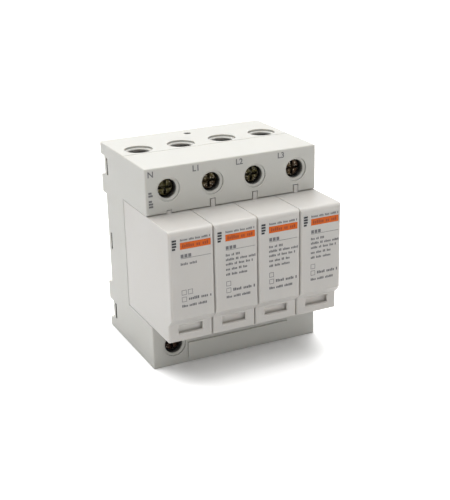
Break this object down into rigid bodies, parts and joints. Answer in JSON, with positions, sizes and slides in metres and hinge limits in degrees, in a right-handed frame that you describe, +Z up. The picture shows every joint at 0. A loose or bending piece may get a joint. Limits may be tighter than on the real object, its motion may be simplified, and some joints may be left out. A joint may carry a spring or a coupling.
{
  "type": "din rail surge arrester",
  "caption": "Grey moulded surge arrester for a mounting rail: pull-out cartridges with indicator windows between screw terminals with clamp cages, and sprung clips at the back.",
  "frame": {"origin": "middle of the bottom of the bounding box", "axes": "+Z up along the terminals, +Y to the back and the rail, +X to the right seen from the front"},
  "size_m": [0.072, 0.069, 0.081],
  "materials": {
    "base_plastic": "fine matt moulding",
    "cartridge_plastic": "fine matt moulding",
    "copper": "bare copper strip",
    "tinned": "tinned strip",
    "steel": "zinc plated",
    "screw_steel": "yellow chromated",
    "varistor_coat": "dipped lacquer",
    "ceramic": "glazed",
    "signal_red": "moulded red",
    "plate_white": "moulded white"
  },
  "bodies": {
    "base": {"rear_housing": "base_plastic", "socket_plate": "base_plastic", "upper_terminal_cover": "base_plastic", "lower_terminal_cover": "base_plastic", "neutral_busbar": "copper", "left_clip_spring": "steel", "right_clip_spring": "steel", "neutral_contact": "copper", "line1_contact": "copper", "line2_contact": "copper", "line3_contact": "copper", "earth_contact": "copper"},
    "neutral_clamp_cage": {"neutral_cage": "steel"},
    "neutral_terminal_screw": {"neutral_screw": "screw_steel"},
    "line1_clamp_cage": {"line1_cage": "steel"},
    "line1_terminal_screw": {"line1_screw": "screw_steel"},
    "line2_clamp_cage": {"line2_cage": "steel"},
    "line2_terminal_screw": {"line2_screw": "screw_steel"},
    "line3_clamp_cage": {"line3_cage": "steel"},
    "line3_terminal_screw": {"line3_screw": "screw_steel"},
    "earth_clamp_cage": {"earth_cage": "steel"},
    "earth_terminal_screw": {"earth_screw": "screw_steel"},
    "left_clip": {"left_rail_clip": "base_plastic"},
    "right_clip": {"right_rail_clip": "base_plastic"},
    "neutral_cartridge": {"neutral_shell": "cartridge_plastic", "neutral_rear_cap": "cartridge_plastic", "neutral_indicator_plate": "plate_white", "neutral_upper_blade": "tinned", "neutral_lower_blade": "tinned", "neutral_spark_gap": "ceramic"},
    "line1_cartridge": {"line1_shell": "cartridge_plastic", "line1_rear_cap": "cartridge_plastic", "line1_indicator_plate": "plate_white", "line1_upper_blade": "tinned", "line1_lower_blade": "tinned", "line1_varistor": "varistor_coat", "line1_trip_spring": "steel"},
    "line2_cartridge": {"line2_shell": "cartridge_plastic", "line2_rear_cap": "cartridge_plastic", "line2_indicator_plate": "plate_white", "line2_upper_blade": "tinned", "line2_lower_blade": "tinned", "line2_varistor": "varistor_coat", "line2_trip_spring": "steel"},
    "line3_cartridge": {"line3_shell": "cartridge_plastic", "line3_rear_cap": "cartridge_plastic", "line3_indicator_plate": "plate_white", "line3_upper_blade": "tinned", "line3_lower_blade": "tinned", "line3_varistor": "varistor_coat", "line3_trip_spring": "steel"},
    "line1_shutter": {"line1_trip_shutter": "signal_red"},
    "line2_shutter": {"line2_trip_shutter": "signal_red"},
    "line3_shutter": {"line3_trip_shutter": "signal_red"}
  },
  "joints": [
    {"name": "neutral_screw_turn", "type": "hinge", "parent": "base", "child": "neutral_terminal_screw", "pos_m": [-0.027, -0.0113, 0.0723], "axis": [0, 1, 0], "range_deg": [0, 2700]},
    {"name": "neutral_cage_draw", "type": "slide", "parent": "base", "child": "neutral_clamp_cage", "axis": [0, -1, 0], "range_m": [0, 0.006]},
    {"name": "line1_screw_turn", "type": "hinge", "parent": "base", "child": "line1_terminal_screw", "pos_m": [-0.009, -0.0113, 0.0723], "axis": [0, 1, 0], "range_deg": [0, 2700]},
    {"name": "line1_cage_draw", "type": "slide", "parent": "base", "child": "line1_clamp_cage", "axis": [0, -1, 0], "range_m": [0, 0.006]},
    {"name": "line2_screw_turn", "type": "hinge", "parent": "base", "child": "line2_terminal_screw", "pos_m": [0.009, -0.0113, 0.0723], "axis": [0, 1, 0], "range_deg": [0, 2700]},
    {"name": "line2_cage_draw", "type": "slide", "parent": "base", "child": "line2_clamp_cage", "axis": [0, -1, 0], "range_m": [0, 0.006]},
    {"name": "line3_screw_turn", "type": "hinge", "parent": "base", "child": "line3_terminal_screw", "pos_m": [0.027, -0.0113, 0.0723], "axis": [0, 1, 0], "range_deg": [0, 2700]},
    {"name": "line3_cage_draw", "type": "slide", "parent": "base", "child": "line3_clamp_cage", "axis": [0, -1, 0], "range_m": [0, 0.006]},
    {"name": "earth_screw_turn", "type": "hinge", "parent": "base", "child": "earth_terminal_screw", "pos_m": [-0.027, -0.0113, 0.0087], "axis": [0, 1, 0], "range_deg": [0, 2700]},
    {"name": "earth_cage_draw", "type": "slide", "parent": "base", "child": "earth_clamp_cage", "axis": [0, -1, 0], "range_m": [0, 0.006]},
    {"name": "left_clip_slide", "type": "slide", "parent": "base", "child": "left_clip", "axis": [0, 0, -1], "range_m": [0, 0.004], "stiffness_N_per_m": 400, "springref_m": -0.002, "deforming": ["left_clip_spring"]},
    {"name": "right_clip_slide", "type": "slide", "parent": "base", "child": "right_clip", "axis": [0, 0, -1], "range_m": [0, 0.004], "stiffness_N_per_m": 400, "springref_m": -0.002, "deforming": ["right_clip_spring"]},
    {"name": "neutral_cartridge_pull", "type": "slide", "parent": "base", "child": "neutral_cartridge", "axis": [0, -1, 0], "range_m": [0, 0.036]},
    {"name": "line1_cartridge_pull", "type": "slide", "parent": "base", "child": "line1_cartridge", "axis": [0, -1, 0], "range_m": [0, 0.036]},
    {"name": "line2_cartridge_pull", "type": "slide", "parent": "base", "child": "line2_cartridge", "axis": [0, -1, 0], "range_m": [0, 0.036]},
    {"name": "line3_cartridge_pull", "type": "slide", "parent": "base", "child": "line3_cartridge", "axis": [0, -1, 0], "range_m": [0, 0.036]},
    {"name": "line1_trip", "type": "slide", "parent": "line1_cartridge", "child": "line1_shutter", "axis": [0, 0, -1], "range_m": [0, 0.004], "deforming": ["line1_trip_spring"]},
    {"name": "line2_trip", "type": "slide", "parent": "line2_cartridge", "child": "line2_shutter", "axis": [0, 0, -1], "range_m": [0, 0.004], "deforming": ["line2_trip_spring"]},
    {"name": "line3_trip", "type": "slide", "parent": "line3_cartridge", "child": "line3_shutter", "axis": [0, 0, -1], "range_m": [0, 0.004], "deforming": ["line3_trip_spring"]}
  ],
  "couplings": [
    {"joint": "neutral_screw_turn", "follows": "neutral_cage_draw", "rad_per_m": 7854},
    {"joint": "line1_screw_turn", "follows": "line1_cage_draw", "rad_per_m": 7854},
    {"joint": "line2_screw_turn", "follows": "line2_cage_draw", "rad_per_m": 7854},
    {"joint": "line3_screw_turn", "follows": "line3_cage_draw", "rad_per_m": 7854},
    {"joint": "earth_screw_turn", "follows": "earth_cage_draw", "rad_per_m": 7854}
  ]
}
